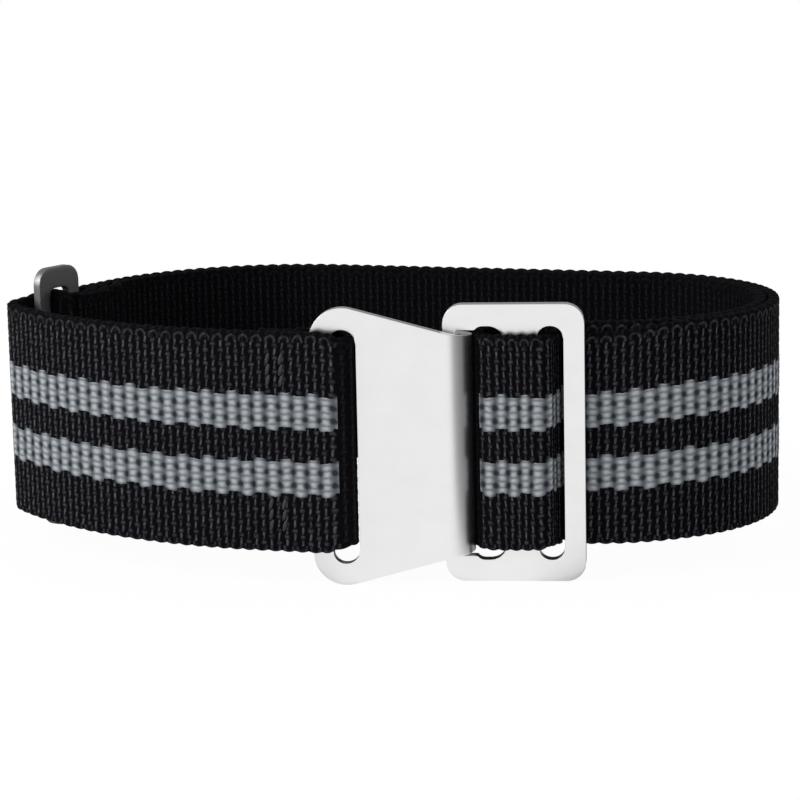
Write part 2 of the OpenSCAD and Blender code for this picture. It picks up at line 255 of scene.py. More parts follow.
def steel(name, colour, mottle, bump, least_rough):
    """Stainless steel of one colour with the satin finish."""
    material, nodes, links = new_material(name)
    shader = nodes["Principled BSDF"]
    shader.inputs["Metallic"].default_value = 1.0
    finish = nodes.new("ShaderNodeGroup")
    finish.node_tree = satin
    finish.inputs["Mottle"].default_value = mottle
    finish.inputs["Least roughness"].default_value = least_rough
    tint = nodes.new("ShaderNodeMix")
    tint.data_type, tint.blend_type = "RGBA", "MULTIPLY"
    tint.inputs["Factor"].default_value = 1
    tint.inputs["A"].default_value = (*colour, 1)
    links.new(finish.outputs["Tone"], tint.inputs["B"])
    links.new(tint.outputs["Result"], shader.inputs["Base Color"])
    links.new(finish.outputs["Roughness"], shader.inputs["Roughness"])
    raised(nodes, links, shader, finish.outputs["Height"], bump, 0.00002)
    return material


bright_steel = steel("satin steel", (0.88, 0.88, 0.88), mottle=0.08, bump=0.25, least_rough=0.24)
plate_places = np.concatenate([
    PLATE_LEFT + PLATE_CORNER * (1 - np.cos(np.linspace(0, math.pi / 2, 13))),
    [-8.2], arc_steps(*PLATE_SLOT, PLATE_SLOT_R, 7), np.linspace(PLATE_SLOT[1], HOOK_X, 9),
    HOOK_X + HOOK_MID_R * np.linspace(0, math.pi, 31)])
hook_plate = punched_sheet(
    "satin_hook_plate", bright_steel, plate_places, [PLATE_LEFT, *PLATE_SLOT, HOOK_X],
    plate_edge, [PLATE_SLOT], lambda x: slot_end(x, PLATE_SLOT, PLATE_SLOT_HALF, PLATE_SLOT_R),
    plate_bend, CLASP_Z, PLATE_T, PLATE_ROUNDING)
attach(hook_plate, "hook")
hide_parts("hook_plate")


# Sewn fold at the hook plate. The end of the webbing goes round the plate's left bar and lies
# doubled against itself; black elastic webbing with two woven grey stripes, 20 mm wide.
WEB_W, WEB_T, WEB_LOW = 20.0, 1.1, 3.4
WEB_MID = WEB_LOW + WEB_W / 2
HALF_SEEN = 10.15  # half the width over the scalloped edges
FACE_OUT, FACE_RELIEF, FACE_LEVEL = 0.49, 0.1, 0.35  # half thickness, and the weave raised on it
EDGE_R, FINE_STEP, COARSE_STEP = 0.2, 0.15, 0.5  # round edges, rows on seen and hidden sides
SCALLOP, SCALLOP_IN, SCALLOP_WIDE, SCALLOP_SHIFT = 0.16, 0.07, 0.7, 1.2  # the wavy selvedges
COLUMN, ROW = 1.28, 0.6  # the grey stripes' beads
RIB, KNOT = 0.75, 1.2  # the black ribs, and the length in which dash and knot repeat on them
DASH_AT, KNOT_AT = 0.31, 0.81
STRIPE_IN, STRIPE_OUT = 1.45, 4.6  # from the webbing's middle
FOLD_AT, FOLD_LEAN = (-4.52543, -20.2787), -10.0
FOLD_R, FOLD_FRONT, FOLD_SHADE = 1.25, 7.45, 0.35  # round the bar, its front, and the striped bit of the turn before the slot's painted shade


def along(degrees):
    """A step of 1 mm in a direction seen from above."""
    return np.array([math.cos(math.radians(degrees)), math.sin(math.radians(degrees))])


def turned(at, degrees, x, y):
    """The place x, y in a frame at a place, turned by degrees."""
    return np.array(at) + x * along(degrees) + y * along(degrees + 90)


def follow(start, heading, parts, inward=0.0, pitch=0.17):
    """Middle line of a run: points, headings in radians and lengths. A part is (length, 0) or
    (radius, turn), a turn to the left being positive; inward moves the line to the right."""
    here, points, headings, lengths = np.array(start) + inward * along(heading - 90), [], [], []
    total = 0.0
    for k, (size, turn) in enumerate(parts):
        if turn:
            radius = size + math.copysign(inward, turn)
            length = radius * abs(math.radians(turn))
        else:
            length = size
        n = max(2 if not turn else 6, int(round(length / pitch)))
        for i in range(0 if k == 0 else 1, n + 1):
            f = i / n
            if turn:
                side = math.copysign(1, turn)
                centre = here + side * radius * along(heading + 90)
                points.append(centre - side * radius * along(heading + turn * f + 90))
                headings.append(math.radians(heading + turn * f))
            else:
                points.append(here + length * f * along(heading))
                headings.append(math.radians(heading))
            lengths.append(total + length * f)
        here, total = points[-1], total + length
        heading += turn
    return np.array(points), np.array(headings), np.array(lengths)


def step(d, r, degrees):
    """The parts of a step to a parallel line at distance d."""
    a = math.radians(degrees)
    return [(r, degrees), ((d - 2 * r * (1 - math.cos(a))) / math.sin(a), 0), (r, -degrees)]


def eased(share):
    """A share from 0 to 1 that starts and ends softly."""
    return share ** 2 * (3 - 2 * share)


def weave_length(lengths, stretch):
    """Length counted in the weave, on elastic stretched from the first share to the second."""
    first, last = stretch
    if first == last:
        return lengths / first
    total = lengths[-1]
    return total / (last - first) * np.log(1 + (last - first) / first * lengths / total)


def hump(distance, half, power):
    """A hump from 0 to 1, nothing beyond half to either side."""
    return np.clip(1 - (distance / half) ** power, 0, 1)


def weave_height(s, z, striped_and_lit):
    """How far the woven face stands up at length s and height z, from 0 to 1."""
    column = s / COLUMN
    z = z + (np.floor(column) % 2 - 0.5) * ROW / 2
    off = np.abs(WEB_W / 2 - z)
    grey = (off > STRIPE_IN) & (off < STRIPE_OUT) & (striped_and_lit > 0.5)
    bead = np.sqrt(np.abs(np.sin(math.pi * column)))
    bead = bead * (0.8 + 0.2 * np.abs(np.sin(math.pi * z / ROW)))
    rib = s / RIB
    place = (z / KNOT + (np.floor(rib) % 2) / 2) % 1
    beside = rib % 1 - 0.5
    dash = hump(beside, 0.22, 2) * hump(place - DASH_AT, 0.34, 4)
    knot = hump(beside, 0.42, 2) * hump(place - KNOT_AT, 0.19, 2)
    return np.where(grey, bead, 0.15 + 0.6 * np.maximum(dash, 0.8 * knot))


def even(points, lengths):
    """Half width and drop of a run that nothing squeezes or pulls down."""
    return np.full(len(points), HALF_SEEN), np.zeros(len(points))


def woven_run(name, line, s0=0.0, fine=("left",), striped_and_lit=("left",), set_by=even, painted_shade_until=0.0,
              stretch=(1.0, 1.0)):
    """A closed length of webbing along a line, its faces raised by the weave.

    The weave is counted from s0, its sides named in fine have close rows, and those listed in
    striped_and_lit have stripes after the length painted_shade_until; before it the stripes are
    left off and the weave dimmed, as painted shade where the run lies in the shadow of a slot.
    set_by gives the half width and drop at each point."""
    points, headings, lengths = line

    def face(side):
        """Heights of the rows on one side."""
        rows = int(round((WEB_W - 2 * EDGE_R) / (FINE_STEP if side in fine else COARSE_STEP)))
        return np.linspace(EDGE_R, WEB_W - EDGE_R, rows + 1)

    # The outline of the section: up the left side, over the top edge, down the right side, back.
    left, right = face("left"), face("right")[::-1]
    arc = np.linspace(0, math.pi, 7)[1:-1]
    out = np.concatenate([np.full(len(left), FACE_OUT), FACE_OUT * np.cos(arc),
                          np.full(len(right), -FACE_OUT), -FACE_OUT * np.cos(arc), [FACE_OUT]])
    up = np.concatenate([left, WEB_W - EDGE_R + EDGE_R * np.sin(arc), right,
                         EDGE_R - EDGE_R * np.sin(arc), [EDGE_R]])
    on_left = np.concatenate([np.ones(len(left)), (arc < math.pi / 2) * 1.0, np.zeros(len(right)),
                              (arc > math.pi / 2) * 1.0, [1.0]])
    facing = np.sign(out) * (np.abs(out) > 0.99 * FACE_OUT)

    # A flat grid gives the faces: its columns follow the line, its rows the outline.
    bm = bmesh.new()
    bmesh.ops.create_grid(bm, x_segments=len(points) - 1, y_segments=len(out) - 1, size=1)
    mesh = bpy.data.meshes.new(name)
    bm.to_mesh(mesh)
    co = np.empty(len(mesh.vertices) * 3, dtype=np.float32)
    mesh.vertices.foreach_get("co", co)
    co = co.reshape(-1, 3)
    i = np.rint((co[:, 0] + 1) / 2 * (len(points) - 1)).astype(int)
    j = np.rint((co[:, 1] + 1) / 2 * (len(out) - 1)).astype(int)
    s, z = weave_length(lengths, stretch)[i] + s0, up[j]
    striped_and_lit_mark = np.where(on_left[j] > 0.5, float("left" in striped_and_lit), float("right" in striped_and_lit))
    # Painted shade: the stripes are left off the stretch that lies in a slot's shadow, up to the
    # given length.
    striped_and_lit_mark = striped_and_lit_mark * (lengths[i] >= painted_shade_until)
    n = out[j] + (weave_height(s, z, striped_and_lit_mark) - FACE_LEVEL) * FACE_RELIEF * facing[j]
    off = z - WEB_W / 2
    near_edge = np.clip((np.abs(off) - WEB_W / 2 + SCALLOP_WIDE) / SCALLOP_WIDE, 0, 1)
    wave = np.abs(np.sin(math.pi * s / COLUMN + (z > WEB_W / 2) * SCALLOP_SHIFT))
    half, drop = set_by(points, lengths)
    high = off * half[i] / (WEB_W / 2) + np.sign(off) * (SCALLOP * wave - SCALLOP_IN) * near_edge
    side = headings[i] + math.pi / 2
    co = np.stack([points[i, 0] + n * np.cos(side), points[i, 1] + n * np.sin(side),
                   high + WEB_MID - drop[i]], axis=1) * MM
    mesh.vertices.foreach_set("co", co.ravel().astype(np.float32))

    # The weave's own measures go with the mesh, for the material.
    corners = np.empty(len(mesh.loops), dtype=np.int32)
    mesh.loops.foreach_get("vertex_index", corners)
    measures = np.stack([s[corners], z[corners]], axis=1)
    chart = mesh.uv_layers.new(name="weave")
    chart.data.foreach_set("uv", measures.ravel().astype(np.float32))
    # The mark is 0 on sides without stripes and on stretches left in a slot's painted shade; the
    # material dims the weave there.
    mark = mesh.attributes.new("striped_and_lit", "FLOAT", "POINT")
    mark.data.foreach_set("value", striped_and_lit_mark.astype(np.float32))

    # The seam along the run is joined and both ends are closed.
    bm.clear()
    bm.from_mesh(mesh)
    bmesh.ops.remove_doubles(bm, verts=bm.verts, dist=1e-6)
    bmesh.ops.holes_fill(bm, edges=[e for e in bm.edges if e.is_boundary], sides=0)
    bmesh.ops.recalc_face_normals(bm, faces=bm.faces)
    for f in bm.faces:
        f.smooth = len(f.verts) < 5
    bm.to_mesh(mesh)
    bm.free()
    piece = in_scene(name, mesh, webbing)
    return piece


def weave_group():
    """The weave: grey beaded stripes, black ribs with short shiny dashes, arcs along both edges."""
    tree, entry, out = new_group("weave", ("Along", "Across", "Striped and lit"),
                                 ("Grey", "Bead", "Hole", "Dash", "Rib", "Height"))
    nodes, links = tree.nodes, tree.links

    def calc(operation, *values):
        return math_node(nodes, links, operation, *values)

    def waves(place, pitch, power=1.0):
        """Humps from 0 to 1, one each pitch, sharper with a higher power."""
        ripple = calc("ABSOLUTE", calc("SINE", calc("MULTIPLY", place, math.pi / pitch)))
        return calc("POWER", ripple, power)

    def odd(place, pitch):
        """1 on every second pitch, 0 between."""
        return calc("FLOORED_MODULO", calc("FLOOR", calc("DIVIDE", place, pitch)), 2.0)

    def bump(place, centre, half, power):
        """A hump from 0 to 1 round centre, nothing beyond half to either side."""
        share = calc("DIVIDE", calc("ABSOLUTE", calc("SUBTRACT", place, centre)), half)
        return calc("MAXIMUM", calc("SUBTRACT", 1.0, calc("POWER", share, power)), 0.0)

    # Grey stripes: beads in columns, every second column half a bead lower, with holes between.
    s, across, striped_and_lit = (entry.outputs[label] for label in ("Along", "Across", "Striped and lit"))
    z = calc("ADD", across, calc("MULTIPLY_ADD", odd(s, COLUMN), ROW / 2, -ROW / 4))
    off = calc("ABSOLUTE", calc("SUBTRACT", z, WEB_W / 2))
    inside = calc("GREATER_THAN", off, STRIPE_IN)
    grey = calc("MULTIPLY", inside, calc("LESS_THAN", off, STRIPE_OUT))
    grey = calc("MULTIPLY", grey, calc("GREATER_THAN", striped_and_lit, 0.5))
    column = waves(s, COLUMN)
    row = calc("MULTIPLY_ADD", waves(z, ROW, 1.1), 0.75, 0.25)
    bead = calc("MULTIPLY", calc("POWER", column, 1.8), row)
    gap = calc("POWER", calc("SUBTRACT", 1.0, column), 1.5)
    hole = calc("MULTIPLY", gap, waves(calc("ADD", across, ROW / 2), 2 * ROW, 4.0))
    hole = calc("MINIMUM", calc("MULTIPLY", hole, 2.0), 1.0)

    # Black ribs: a slanted dash and a knot by turns, shifted on every second rib.
    place = calc("MULTIPLY_ADD", odd(s, RIB), 0.5, calc("DIVIDE", across, KNOT))
    place = calc("FRACT", place)
    beside = calc("FRACT", calc("DIVIDE", s, RIB))
    leaning = calc("MULTIPLY_ADD", calc("SUBTRACT", place, DASH_AT), 0.16, beside)
    dash = calc("MULTIPLY", bump(leaning, 0.5, 0.17, 2.0), bump(place, DASH_AT, 0.33, 4.0))
    knot = calc("MULTIPLY", bump(beside, 0.5, 0.36, 2.0), bump(place, KNOT_AT, 0.18, 2.0))
    rib = calc("MAXIMUM", dash, knot)
    dash = calc("MAXIMUM", dash, calc("MULTIPLY", knot, 0.55))

    # Both edges: a row of small arcs, where the cross threads turn back.
    off_middle = calc("ABSOLUTE", calc("SUBTRACT", across, WEB_W / 2))
    from_edge = calc("SUBTRACT", WEB_W / 2, off_middle)
    along_arc = calc("SUBTRACT", calc("FRACT", calc("DIVIDE", s, COLUMN)), 0.5)
    along_arc = calc("MULTIPLY", along_arc, COLUMN)
    down_arc = calc("SUBTRACT", from_edge, 0.62)
    squares = [calc("MULTIPLY", value, value) for value in (along_arc, down_arc)]
    ring = calc("SQRT", calc("ADD", *squares))
    ring = calc("MULTIPLY", bump(ring, 0.42, 0.14, 2.0), 0.45)
    at_edge = calc("LESS_THAN", from_edge, 0.75)
    dash = calc("MAXIMUM", calc("MULTIPLY", dash, calc("SUBTRACT", 1.0, at_edge)),
                calc("MULTIPLY", ring, at_edge))

    # The side without stripes, towards the wrist, is plainer too: its dashes and ribs are lower and
    # darker, the darkness a painted shade for the inside of the loop. The same dimming is painted
    # shade on a stretch whose stripes are left off in a slot.
    dash = calc("MULTIPLY", dash, calc("MULTIPLY_ADD", striped_and_lit, 0.85, 0.15))
    rib = calc("MULTIPLY", rib, calc("MULTIPLY_ADD", striped_and_lit, 0.6, 0.4))
    black_height = calc("MULTIPLY_ADD", dash, 0.5, calc("MULTIPLY", rib, 0.4))
    height = calc("ADD", calc("MULTIPLY", grey, calc("SUBTRACT", bead, hole)),
                  calc("MULTIPLY", calc("SUBTRACT", 1.0, grey), black_height))
    for label, value in (("Grey", grey), ("Bead", bead), ("Hole", hole), ("Dash", dash),
                         ("Rib", rib), ("Height", height)):
        links.new(value, out.inputs[label])
    return tree


def mixed(nodes, links, factor, a, b):
    """A colour between a and b."""
    node = nodes.new("ShaderNodeMix")
    node.data_type = "RGBA"
    feed(links, factor, node.inputs["Factor"])
    for label, colour in (("A", a), ("B", b)):
        feed(links, (*colour, 1) if isinstance(colour, tuple) else colour, node.inputs[label])
    return node.outputs["Result"]


def ranged(nodes, links, value, reach=(0.0, 1.0), to=(0.0, 1.0)):
    """A value spread from one range to another, and held at its ends."""
    node = nodes.new("ShaderNodeMapRange")
    for label, limit in zip(("From Min", "From Max", "To Min", "To Max"), (*reach, *to)):
        node.inputs[label].default_value = limit
    links.new(value, node.inputs["Value"])
    return node.outputs["Result"]


def webbing_material():
    """Black and grey elastic yarn, matt but for the dashes, its lines a little stray."""
    material, nodes, links = new_material("elastic webbing")
    shader = nodes["Principled BSDF"]
    shader.inputs["Specular IOR Level"].default_value = 0.06
    chart = nodes.new("ShaderNodeUVMap")
    chart.uv_map = "weave"
    stray = noise(nodes, links, chart.outputs["UV"], 1.3, 3)["Color"]
    moved = nodes.new("ShaderNodeVectorMath")
    moved.operation = "MULTIPLY_ADD"
    moved.inputs[1].default_value = (0.26, 0.34, 0)
    links.new(stray, moved.inputs[0])
    links.new(chart.outputs["UV"], moved.inputs[2])
    split = nodes.new("ShaderNodeSeparateXYZ")
    links.new(moved.outputs["Vector"], split.inputs[0])
    mark = nodes.new("ShaderNodeAttribute")
    mark.attribute_name = "striped_and_lit"
    weave = nodes.new("ShaderNodeGroup")
    weave.node_tree = weave_group()
    links.new(split.outputs["X"], weave.inputs["Along"])
    links.new(split.outputs["Y"], weave.inputs["Across"])
    links.new(mark.outputs["Fac"], weave.inputs["Striped and lit"])
    uneven = noise(nodes, links, chart.outputs["UV"], 2.2, 4)["Fac"]
    patchy = ranged(nodes, links, uneven, reach=(0.36, 0.64))
    yarn = weave.outputs
    black = mixed(nodes, links, yarn["Rib"], (0.0008, 0.0008, 0.0016), (0.006, 0.006, 0.009))
    shine = mixed(nodes, links, patchy, (0.014, 0.014, 0.02), (0.074, 0.074, 0.084))
    black = mixed(nodes, links, yarn["Dash"], black, shine)
    beads = mixed(nodes, links, uneven, (0.25, 0.272, 0.287), (0.41, 0.434, 0.45))
    grey = mixed(nodes, links, yarn["Bead"], (0.074, 0.082, 0.094), beads)
    grey = mixed(nodes, links, yarn["Hole"], grey, (0.02, 0.022, 0.028))
    links.new(mixed(nodes, links, yarn["Grey"], black, grey), shader.inputs["Base Color"])
    links.new(ranged(nodes, links, yarn["Dash"], to=(0.8, 0.45)), shader.inputs["Roughness"])
    raised(nodes, links, shader, yarn["Height"], 0.7, 0.00012)
    return material


def drawn_into_plate(points, lengths):
    """Half width and drop, narrower where the webbing squeezes through the plate's slot."""
    beyond = (points - np.array(FOLD_AT)) @ along(FOLD_LEAN)
    return HALF_SEEN - 0.6 * eased(np.clip((beyond - 0.4) / 2.4, 0, 1)), np.zeros(len(points))


webbing = webbing_material()
STEP_DEG = math.degrees(math.atan2(4, 3))
lap = step(1.4, 1.2, STEP_DEG)  # from the sewn end's line out to the bar
fold_line = follow(turned(FOLD_AT, FOLD_LEAN, -5.6, -0.15), FOLD_LEAN,
                   [(2.4, 0), *lap, (2.45, 0), (FOLD_R, -180), (FOLD_FRONT, 0)])
fold_length = fold_line[2][-1]
# The turn round the bar into the plate's slot loses its stripes as painted shade.
hook_fold = woven_run("woven_fold_at_hook", fold_line, fine=("left", "right"),
                      set_by=drawn_into_plate, painted_shade_until=fold_length - FOLD_FRONT - FOLD_SHADE)
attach(hook_fold, "hook_end")
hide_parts("webbing_hook_fold")


# Tacks at the hook plate. Black polyester thread, two columns of short slanted stitches near each
# edge of the webbing, sewn through both layers of the fold.
STITCHES, STITCH_L, COLUMN_GAP, TACK_IN = 3, 1.0, 1.25, 1.8
STITCH_HALF, STITCH_LEAN = (0.19, 0.17, 0.56), 16  # half sizes of a stitch, and its slant
TACK_STARTS = (("lower", TACK_IN), ("upper", WEB_W - TACK_IN - STITCHES * STITCH_L))


def thread_material():
    """Black thread whose twisted plies show as fine slanted bands."""
    material, nodes, links = new_material("sewing thread")
    shader = nodes["Principled BSDF"]
    shader.inputs["Roughness"].default_value = 0.5
    place = nodes.new("ShaderNodeTexCoord")
    turn = nodes.new("ShaderNodeMapping")
    turn.inputs["Rotation"].default_value = (0.9, 0.5, 0)
    links.new(place.outputs["Object"], turn.inputs["Vector"])
    plies = nodes.new("ShaderNodeTexWave")
    plies.inputs["Scale"].default_value = 2200
    links.new(turn.outputs["Vector"], plies.inputs["Vector"])
    colour = mixed(nodes, links, plies.outputs["Fac"], (0.004, 0.004, 0.006), (0.035, 0.035, 0.04))
    links.new(colour, shader.inputs["Base Color"])
    raised(nodes, links, shader, plies.outputs["Fac"], 0.5, 0.00004)
    return material


thread = thread_material()


def tack(name, body, node, at, degrees, x, faces, low):
    """Rows of stitches on both faces, at x and x + COLUMN_GAP in a frame turned by degrees."""
    bm = bmesh.new()
    for y, lean in zip(faces, (STITCH_LEAN, -STITCH_LEAN)):
        for column in (x, x + COLUMN_GAP):
            for k in range(STITCHES):
                px, py = turned(at, degrees, column, y)
                pz = low + (k + 0.5) * STITCH_L + WEB_LOW
                place = (Matrix.Translation((px * MM, py * MM, pz * MM))
                         @ Matrix.Rotation(math.radians(degrees), 4, "Z")
                         @ Matrix.Rotation(math.radians(lean), 4, "Y")
                         @ Matrix.Diagonal((*(half * MM for half in STITCH_HALF), 1)))
                bmesh.ops.create_uvsphere(bm, u_segments=12, v_segments=10, radius=1, matrix=place)
    piece = in_scene(name, smooth_mesh(name, bm), thread)
    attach(piece, body)
    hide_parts(node)


for word, low in TACK_STARTS:
    tack("hook_tack_" + word, "hook_end", "hook_seam_" + word, FOLD_AT, FOLD_LEAN, -4.4,
         (-1.76, 0.36), low)


# Front left run and the tight turn at the left. The same webbing, pulled straight and bent by the
# pull of the hook and the slide; nothing fixes it on its way.
LEFT_START, LEFT_HEADING = (-10.6976, -21.0182), 170
LEFT_R, LEFT_DEG, TURN_R, TURN_DEG = 41, 21.5, 5, 66
MID = WEB_T / 2  # lines are given along the webbing's outer face and moved in by half its thickness
FIRST_STRETCH, SECOND_STRETCH = (0.94, 1.16), (1.16, 1.3)
first_line = follow(LEFT_START, LEFT_HEADING, [(LEFT_R, -LEFT_DEG)], MID)
centre = np.array(LEFT_START) + LEFT_R * along(LEFT_HEADING - 90)
halfway = centre + LEFT_R * along(LEFT_HEADING - LEFT_DEG + 90)
second_line = follow(halfway, LEFT_HEADING - LEFT_DEG, [(LEFT_R, -LEFT_DEG), (TURN_R, -TURN_DEG)],
                     MID)
front_first = woven_run("woven_front_left", first_line, fold_length, stretch=FIRST_STRETCH)
front_first_end = fold_length + weave_length(first_line[2], FIRST_STRETCH)[-1]
front_second = woven_run("woven_left_turn", second_line, front_first_end, stretch=SECOND_STRETCH)
left_end = front_first_end + weave_length(second_line[2], SECOND_STRETCH)[-1]
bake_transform(front_first)
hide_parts("webbing_front_left")
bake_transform(front_second)
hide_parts("webbing_left_turn")


# Adjuster slide. A small flat loop of duller steel, cut from sheet 0.8 mm thick with one slot. It
# is held by the webbing in its slot and moved along the doubled webbing by hand.
SLIDE_AT, SLIDE_TURN = (-35.0537, 3.09137), 61.0
SLIDE_T, SLIDE_Y, SLIDE_ROUNDING = 0.8, -1.8, 0.12
SLIDE, SLIDE_HALF, SLIDE_R = (-2.9, 2.9), 12.9, (1.6, 1.6)
SLIDE_SLOT, SLIDE_SLOT_HALF, SLIDE_SLOT_R = (-1.4, 1.4), 10.85, (0.8, 0.8)
dull_steel = steel("satin steel, duller", (0.31, 0.31, 0.31), mottle=0.1, bump=0.35,
                   least_rough=0.4)
slide_places = np.concatenate([arc_steps(*SLIDE, (1.5, 1.5), 8),
                               arc_steps(*SLIDE_SLOT, SLIDE_SLOT_R, 6)])
slide = punched_sheet(
    "adjuster_slide_loop", dull_steel, slide_places, [*SLIDE, *SLIDE_SLOT],
    lambda x: round_end(x, *SLIDE, SLIDE_HALF, SLIDE_R), [SLIDE_SLOT],
    lambda x: slot_end(x, SLIDE_SLOT, SLIDE_SLOT_HALF, SLIDE_SLOT_R),
    lambda x: turned(SLIDE_AT, SLIDE_TURN, x, SLIDE_Y), WEB_MID, SLIDE_T, SLIDE_ROUNDING)
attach(slide, "adjuster")
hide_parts("adjuster_slide")


# Pass through the slide. The same webbing dives in through the slide's slot, crowded there, and
# lies over the sewn end behind it. Only the slot holds it.
PASS_STEP = step(1.25, 1.2, STEP_DEG)
CROWDED, CROWDED_L = 0.56, 8.2  # wider by so much on each side, over so much length
pass_line = follow(turned(SLIDE_AT, SLIDE_TURN, -3.4, -MID), SLIDE_TURN,
                   [(1.7, 0), (0.95, -90), (1.8, 0), (0.95, 90), (3.8, 0), *PASS_STEP,
                    (1.3125, 0), *PASS_STEP])


def bunched(points, lengths):
    """Half width and drop, wider where the webbing is crowded into the slide's slot."""
    swell = np.sin(math.pi * np.clip(lengths / CROWDED_L, 0, 1)) ** 2
    return HALF_SEEN + CROWDED * swell, np.zeros(len(points))


adjuster_pass = woven_run("woven_through_slide", pass_line, left_end, fine=("left", "right"),
                          set_by=bunched)
pass_end = left_end + pass_line[2][-1]
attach(adjuster_pass, "adjuster")
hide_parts("webbing_adjuster_pass")


# Inner layer. The same webbing runs on from the slide along the back and round the right side,
# against the wrist, and nothing fixes it there.
BACK_P3, BACK_P4 = (-30.4055, 11.4768), (-7.67238, 21.8369)  # ends of the corner before the back
BACK_HEADING, BACK_R, BACK_DEG, BACK_L = 61, 21, 73, 32.5607
RIGHT_HEADING, RIGHT_R, RIGHT_DEG = -12, 16.6043, 168.0
LAYER = 1.2  # from the outer layer to the inner one
back_parts = [(BACK_R, -BACK_DEG), (BACK_L, 0)]
back_inner_line = follow(BACK_P3, BACK_HEADING, back_parts, LAYER + MID)
right_start = np.array(BACK_P4) + BACK_L * along(RIGHT_HEADING)
right_inner_line = follow(right_start, RIGHT_HEADING, [(RIGHT_R, -RIGHT_DEG), (9.16, 0)],
                          LAYER + MID)
back_inner = woven_run("woven_back_inner", back_inner_line, pass_end, fine=("right",))
right_inner = woven_run("woven_right_inner", right_inner_line, pass_end + back_inner_line[2][-1],
                        fine=("right",))
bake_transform(back_inner)
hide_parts("webbing_back_inner")
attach(right_inner, "strap")
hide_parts("webbing_right_turn_inner")


# Clasp frame. Satin stainless sheet 1.2 mm thick with two punched slots; the hook holds its
# narrow left bar and the webbing is looped over its middle bar.
FRAME_T, FRAME_Y, FRAME_ROUNDING = 1.2, 3.6, 0.34
FRAME, FRAME_HALF, FRAME_R = (0, 12.8), 12.8, (1.8, 1.8)
HOOK_SLOT, STRAP_SLOT, SLOT_HALF, STRAP_SLOT_R = (1.15, 5.6), (8.5, 10.9), 10.8, (1.15, 1.15)
NOTCH_HALF, NOTCH_END, NOTCH_CLEAR = 10.45, 2.7, 3.6  # the hook's slot is lower by its left bar


def frame_slot(x):
    """Half height of the slots at x, taking the middle bar's left half as the hook's slot."""
    if x <= NOTCH_END:
        return round_end(max(x, HOOK_SLOT[0]), *HOOK_SLOT, NOTCH_HALF, (0.2, 0))
    if x <= (HOOK_SLOT[1] + STRAP_SLOT[0]) / 2:
        return max(NOTCH_HALF if x < NOTCH_CLEAR else 0,
                   round_end(min(x, HOOK_SLOT[1]), NOTCH_END, HOOK_SLOT[1], SLOT_HALF, (0.9, 1.5)))
    return slot_end(x, STRAP_SLOT, SLOT_HALF, STRAP_SLOT_R)


frame_places = np.concatenate([
    arc_steps(*FRAME, FRAME_R, 10), arc_steps(*HOOK_SLOT, (0.4, 1.5), 8), [2.2, NOTCH_END],
    np.linspace(2.9, NOTCH_CLEAR, 6), [6.5, 7.5], arc_steps(*STRAP_SLOT, STRAP_SLOT_R, 7)])
clasp = punched_sheet(
    "satin_clasp_frame", bright_steel, frame_places, [FRAME[0], *HOOK_SLOT, *STRAP_SLOT, FRAME[1]],
    lambda x: round_end(x, *FRAME, FRAME_HALF, FRAME_R), [HOOK_SLOT, STRAP_SLOT], frame_slot,
    lambda x: clasp_place(x, FRAME_Y), CLASP_Z, FRAME_T, FRAME_ROUNDING)
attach(clasp, "frame")
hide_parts("clasp_frame")


# Loop over the frame's middle bar. The same webbing comes up through the hook's slot, crosses the
# bar and goes down through the other slot, drawn a little narrower on the way.
LOOP_DEG = math.degrees(math.atan2(24, 7))
LOOP_HALF, LOOP_STRETCH = 10.0, (0.82, 0.82)
loop_line = follow(clasp_place(5.04, 6.2), 180,
                   [(1.95, 180), (3.3186, 0), *step(2.7, 0.95, LOOP_DEG)], pitch=0.15)


def drawn_in(points, lengths):
    """Half width and drop: the loop rests low on the bar and narrows into the second slot."""
    x = points[:, 0] - CLASP_X
    in_front = points[:, 1] - CLASP_Y < 4.0
    pull = eased(np.clip((x - 8.3) / 1.6, 0, 1) * in_front)
    rest = np.clip(lengths / 5.0, 0, 1)
    return LOOP_HALF - 0.1 * rest - 0.3 * pull, 0.1 + 0.28 * rest


# The loop's first stretch, coming up through the hook's slot, loses its stripes as painted shade.
frame_loop = woven_run("woven_over_frame_bar", loop_line, 0.35, fine=("right",),
                       striped_and_lit=("left", "right"), set_by=drawn_in, painted_shade_until=4.6, stretch=LOOP_STRETCH)
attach(frame_loop, "strap")
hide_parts("webbing_frame_loop")


# Outer layer. The same webbing goes on from the frame round the right side and along the back,
# over the inner layer, which holds it only by lying under it.
back_outer_line = follow(BACK_P3, BACK_HEADING, back_parts, MID)
right_outer_line = follow(right_start, RIGHT_HEADING, [(RIGHT_R, -RIGHT_DEG), (3.25, 0)], MID)
back_outer = woven_run("woven_back_outer", back_outer_line, pass_end)


def settled(points, lengths):
    """Half width and drop: the webbing comes out of the frame low and a little gathered."""
    near = eased(np.clip((lengths - lengths[-1] + 12) / 10, 0, 1))
    return HALF_SEEN - 0.4 * near, 0.5 * near


right_outer = woven_run("woven_right_outer", right_outer_line, pass_end + back_outer_line[2][-1],
                        set_by=settled)
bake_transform(back_outer)
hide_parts("webbing_back_outer")
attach(right_outer, "strap")
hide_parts("webbing_right_turn_outer")


